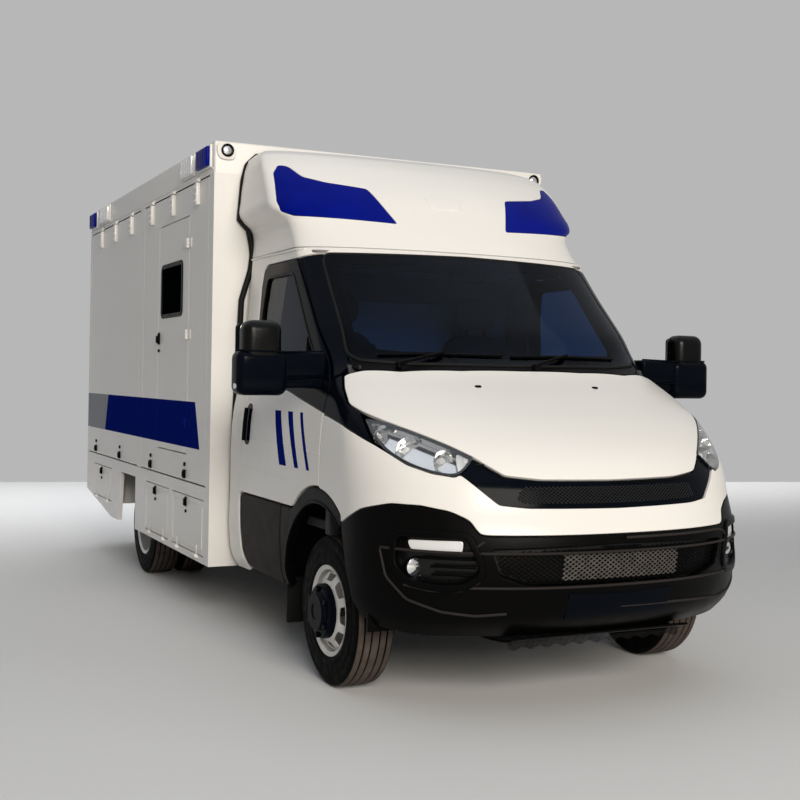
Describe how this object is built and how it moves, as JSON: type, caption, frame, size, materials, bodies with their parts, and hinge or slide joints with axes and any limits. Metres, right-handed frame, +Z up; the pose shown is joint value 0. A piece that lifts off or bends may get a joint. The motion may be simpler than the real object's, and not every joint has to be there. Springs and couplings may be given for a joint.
{
  "type": "box-body ambulance van",
  "caption": "Cab-chassis ambulance van with box body, lift-up side flaps, swing doors, steered front wheels and twin rear wheels.",
  "frame": {"origin": "middle of the outline at ground level", "axes": "+Z up, front of the van towards -Y, its left side towards +X"},
  "size_m": [2.756, 6.17, 2.796],
  "materials": {
    "paint_white": "gloss white paint",
    "box_white": "gloss white panel with a blue stripe",
    "floor_board": "grey board",
    "black_plastic": "grained black plastic",
    "cab_trim": "dark cab trim",
    "chassis_black": "satin black paint",
    "engine_metal": "cast",
    "knuckle_iron": "cast",
    "window_glass": "tinted glass",
    "clear_lens": "clear lens over bright reflector",
    "blue_lens": "blue lens",
    "red_lens": "red lens",
    "tyre_rubber": "rubber",
    "rim_silver": "silver paint"
  },
  "bodies": {
    "chassis": {"chassis_frame": "chassis_black", "front_axle": "chassis_black", "rear_axle": "chassis_black", "engine": "engine_metal", "tank_and_exhaust": "chassis_black", "cab_frame": "paint_white", "cab_shell": "paint_white", "fenders": "paint_white", "windscreen": "window_glass", "grille": "black_plastic", "clear_lamps": "clear_lens", "bumper": "black_plastic", "cab_steps": "black_plastic", "cab_interior": "cab_trim", "roof_fairing": "paint_white", "blue_lamps": "blue_lens", "box_floor": "floor_board", "box_roof": "box_white", "box_front_wall": "box_white", "box_frame": "box_white", "box_wall_left": "box_white", "skirts": "box_white", "tail_lamps": "red_lens", "rear_step": "chassis_black"},
    "knuckle_right": {"knuckle_right": "knuckle_iron"},
    "knuckle_left": {"knuckle_left": "knuckle_iron"},
    "front_wheel_right": {"front_tyre_right": "tyre_rubber", "front_rim_right": "rim_silver"},
    "front_wheel_left": {"front_tyre_left": "tyre_rubber", "front_rim_left": "rim_silver"},
    "rear_wheels_right": {"rear_tyres_right": "tyre_rubber", "rear_rims_right": "rim_silver"},
    "rear_wheels_left": {"rear_tyres_left": "tyre_rubber", "rear_rims_left": "rim_silver"},
    "hood": {"hood": "paint_white", "hood_hinges": "chassis_black"},
    "cab_door_right": {"cab_door_right": "paint_white", "door_glass_right": "window_glass", "mirror_right": "black_plastic"},
    "cab_door_left": {"cab_door_left": "paint_white", "door_glass_left": "window_glass", "mirror_left": "black_plastic"},
    "side_flap_front": {"side_flap_front": "box_white"},
    "side_flap_rear": {"side_flap_rear": "box_white"},
    "side_door": {"side_door": "box_white", "side_door_glass": "window_glass"},
    "rear_door_right": {"rear_door_right": "box_white", "rear_glass_right": "window_glass"},
    "rear_door_left": {"rear_door_left": "box_white", "rear_glass_left": "window_glass"},
    "locker_door_front": {"locker_door_front": "box_white"},
    "locker_door_middle": {"locker_door_middle": "box_white"},
    "locker_door_rear": {"locker_door_rear": "box_white"},
    "steering_wheel": {"steering_wheel": "black_plastic"}
  },
  "joints": [
    {"name": "steer_right", "type": "hinge", "parent": "chassis", "child": "knuckle_right", "pos_m": [-0.7, -2.085, 0.349], "axis": [0, 0, 1], "range_deg": [-35, 35]},
    {"name": "steer_left", "type": "hinge", "parent": "chassis", "child": "knuckle_left", "pos_m": [0.7, -2.085, 0.349], "axis": [0, 0, 1], "range_deg": [-35, 35]},
    {"name": "front_spin_right", "type": "hinge", "parent": "knuckle_right", "child": "front_wheel_right", "pos_m": [-0.8625, -2.085, 0.349], "axis": [1, 0, 0], "continuous": true},
    {"name": "front_spin_left", "type": "hinge", "parent": "knuckle_left", "child": "front_wheel_left", "pos_m": [0.8625, -2.085, 0.349], "axis": [1, 0, 0], "continuous": true},
    {"name": "rear_spin_right", "type": "hinge", "parent": "chassis", "child": "rear_wheels_right", "pos_m": [-0.7845, 1.365, 0.349], "axis": [1, 0, 0], "continuous": true},
    {"name": "rear_spin_left", "type": "hinge", "parent": "chassis", "child": "rear_wheels_left", "pos_m": [0.7845, 1.365, 0.349], "axis": [1, 0, 0], "continuous": true},
    {"name": "hood_lift", "type": "hinge", "parent": "chassis", "child": "hood", "pos_m": [0, -2.035, 1.49], "axis": [-1, 0, 0], "range_deg": [0, 55]},
    {"name": "cab_door_right_swing", "type": "hinge", "parent": "chassis", "child": "cab_door_right", "pos_m": [-0.987, -2.068, 1.2], "axis": [0, 0, 1], "range_deg": [0, 70]},
    {"name": "cab_door_left_swing", "type": "hinge", "parent": "chassis", "child": "cab_door_left", "pos_m": [0.987, -2.068, 1.2], "axis": [0, 0, -1], "range_deg": [0, 70]},
    {"name": "side_flap_front_lift", "type": "hinge", "parent": "chassis", "child": "side_flap_front", "pos_m": [-1.116, 0.215, 2.605], "axis": [0, 1, 0], "range_deg": [0, 90]},
    {"name": "side_flap_rear_lift", "type": "hinge", "parent": "chassis", "child": "side_flap_rear", "pos_m": [-1.116, 2.015, 2.605], "axis": [0, 1, 0], "range_deg": [0, 90]},
    {"name": "side_door_swing", "type": "hinge", "parent": "side_flap_front", "child": "side_door", "pos_m": [-1.116, -0.128, 1.69], "axis": [0, 0, -1], "range_deg": [-100, 0]},
    {"name": "rear_door_right_swing", "type": "hinge", "parent": "chassis", "child": "rear_door_right", "pos_m": [-1.048, 2.962, 1.75], "axis": [0, 0, 1], "range_deg": [0, 110]},
    {"name": "rear_door_left_swing", "type": "hinge", "parent": "chassis", "child": "rear_door_left", "pos_m": [1.048, 2.962, 1.75], "axis": [0, 0, -1], "range_deg": [0, 110]},
    {"name": "locker_front_drop", "type": "hinge", "parent": "chassis", "child": "locker_door_front", "pos_m": [-1.116, -0.185, 0.377], "axis": [0, -1, 0], "range_deg": [0, 90]},
    {"name": "locker_middle_drop", "type": "hinge", "parent": "chassis", "child": "locker_door_middle", "pos_m": [-1.116, 0.575, 0.377], "axis": [0, -1, 0], "range_deg": [0, 90]},
    {"name": "locker_rear_drop", "type": "hinge", "parent": "chassis", "child": "locker_door_rear", "pos_m": [-1.116, 2.315, 0.452], "axis": [0, -1, 0], "range_deg": [0, 90]},
    {"name": "steering_wheel_turn", "type": "hinge", "parent": "chassis", "child": "steering_wheel", "pos_m": [0.43, -1.525, 1.33], "axis": [0, 0.866, 0.5], "range_deg": [-420, 420]}
  ],
  "couplings": [
    {"joint": "steer_left", "follows": "steer_right", "ratio": 1},
    {"joint": "steering_wheel_turn", "follows": "steer_right", "ratio": 12}
  ]
}
